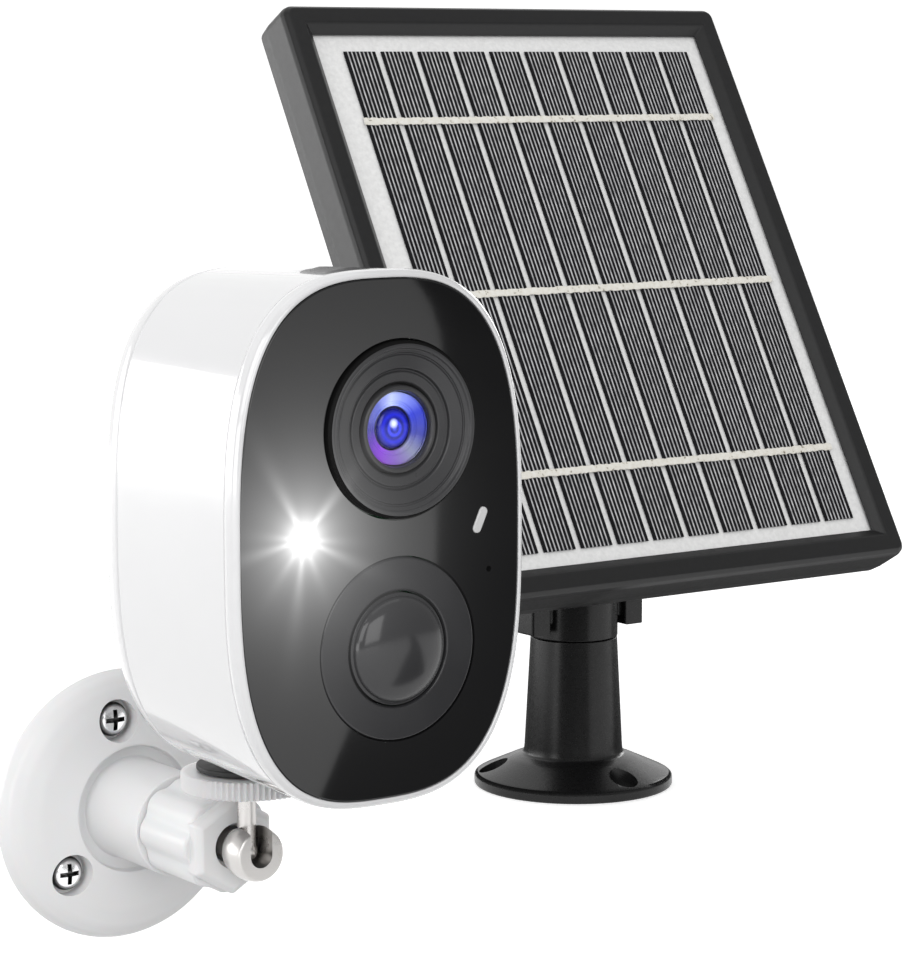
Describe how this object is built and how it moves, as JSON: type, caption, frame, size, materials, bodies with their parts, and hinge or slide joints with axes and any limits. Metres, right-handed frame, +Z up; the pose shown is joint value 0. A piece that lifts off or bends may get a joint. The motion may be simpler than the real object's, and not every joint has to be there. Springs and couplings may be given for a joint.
{
  "type": "solar-powered security camera",
  "caption": "Camera with lens, motion sensor and spotlight on a jointed wall bracket, with a tilting solar panel on a round-footed stand.",
  "frame": {"origin": "centre of the wall plate's flat back face", "axes": "+Y points back into the wall, +Z is up, +X runs from the camera towards the solar panel; the camera faces -Y"},
  "size_m": [0.2698, 0.2082, 0.1936],
  "materials": {
    "white_shell": "gloss white ABS",
    "black_face": "polished black acrylic",
    "dark_plastic": "satin dark grey",
    "lens_glass": "coated glass, blue and violet reflections",
    "pir_plastic": "dark grey, slightly translucent",
    "clear_plastic": "clear moulded lens",
    "status_window": "light grey diffuser",
    "steel": "satin steel",
    "circuit_board": "solder mask green",
    "cell_wrap": "shrink wrap",
    "black_rubber": "matte",
    "grey_rubber": "matte silicone",
    "chrome": "polished",
    "brass": "turned",
    "white_plastic": "satin moulded",
    "black_satin": "satin moulded",
    "frame_black": "satin moulded",
    "panel_sheet": "fine-textured white",
    "solar_cell": "silicon with fine silver fingers",
    "solder": "tinned ribbon"
  },
  "bodies": {
    "root": {"wall_plate": "white_plastic", "wall_screw_1": "chrome", "wall_screw_2": "chrome", "wall_screw_3": "chrome", "stand_base": "black_satin"},
    "lock_nut": {"lock_nut": "white_plastic"},
    "ball": {"ball_head": "steel"},
    "stud": {"tilt_stud": "steel"},
    "thumbwheel": {"thumbwheel": "white_plastic"},
    "camera": {"front_bezel": "white_shell", "front_cover": "black_face", "main_housing": "white_shell", "rear_cover": "white_shell", "housing_seal": "black_rubber", "case_screw_1": "chrome", "case_screw_2": "chrome", "case_screw_3": "chrome", "case_screw_4": "chrome", "lens_hood": "dark_plastic", "lens_barrel": "dark_plastic", "lens_glass": "lens_glass", "lens_inner_element": "lens_glass", "image_sensor": "dark_plastic", "sensor_board": "circuit_board", "pir_ring": "pir_plastic", "pir_dome": "pir_plastic", "pir_sensor": "steel", "spotlight_lens": "clear_plastic", "spotlight_led": "clear_plastic", "status_window": "status_window", "front_board": "circuit_board", "main_board": "circuit_board", "battery_left": "cell_wrap", "battery_right": "cell_wrap", "speaker": "black_satin", "usb_socket": "steel", "mount_insert": "brass", "mount_pad": "black_rubber"},
    "port_cover": {"port_cover": "grey_rubber"},
    "power_button": {"power_button": "grey_rubber"},
    "fork": {"swivel_fork": "black_satin", "pivot_bolt": "steel"},
    "knob": {"clamp_knob": "black_satin"},
    "panel": {"panel_frame": "frame_black", "panel_sheet": "panel_sheet", "cell_strip_01": "solar_cell", "cell_strip_02": "solar_cell", "cell_strip_03": "solar_cell", "cell_strip_04": "solar_cell", "cell_strip_05": "solar_cell", "cell_strip_06": "solar_cell", "cell_strip_07": "solar_cell", "cell_strip_08": "solar_cell", "cell_strip_09": "solar_cell", "cell_strip_10": "solar_cell", "busbar_1": "solder", "busbar_2": "solder", "busbar_3": "solder", "panel_back_cover": "black_satin", "lead_gland": "black_rubber"}
  },
  "joints": [
    {"name": "nut_turn", "type": "hinge", "parent": "root", "child": "lock_nut", "pos_m": [0, 0, 0], "axis": [0, -1, 0], "continuous": true},
    {"name": "ball_roll", "type": "hinge", "parent": "root", "child": "ball", "pos_m": [0, 0, 0], "axis": [0, -1, 0], "range_deg": [-180, 180]},
    {"name": "stud_tilt", "type": "hinge", "parent": "ball", "child": "stud", "pos_m": [0, -0.0494, 0], "axis": [1, 0, 0], "range_deg": [0, 90]},
    {"name": "wheel_turn", "type": "hinge", "parent": "stud", "child": "thumbwheel", "pos_m": [0, -0.0494, 0], "axis": [0, 0, 1], "continuous": true},
    {"name": "camera_pan", "type": "hinge", "parent": "stud", "child": "camera", "pos_m": [0, -0.0494, 0], "axis": [0, 0, 1], "range_deg": [-90, 90]},
    {"name": "flap_open", "type": "hinge", "parent": "camera", "child": "port_cover", "pos_m": [0, -0.076, 0.0168], "axis": [-1, 0, 0], "range_deg": [0, 140]},
    {"name": "button_press", "type": "slide", "parent": "camera", "child": "power_button", "axis": [0, 0, 1], "range_m": [0, 0.0006], "stiffness_N_per_m": 1500},
    {"name": "panel_swivel", "type": "hinge", "parent": "root", "child": "fork", "pos_m": [0.1711, 0.0693, 0], "axis": [0, 0, 1], "range_deg": [-180, 180]},
    {"name": "knob_turn", "type": "hinge", "parent": "fork", "child": "knob", "pos_m": [0.1711, 0.0693, 0.0515], "axis": [1, 0, 0], "continuous": true},
    {"name": "panel_tilt", "type": "hinge", "parent": "fork", "child": "panel", "pos_m": [0.1711, 0.0693, 0.0515], "axis": [-1, 0, 0], "range_deg": [-30, 60]}
  ]
}
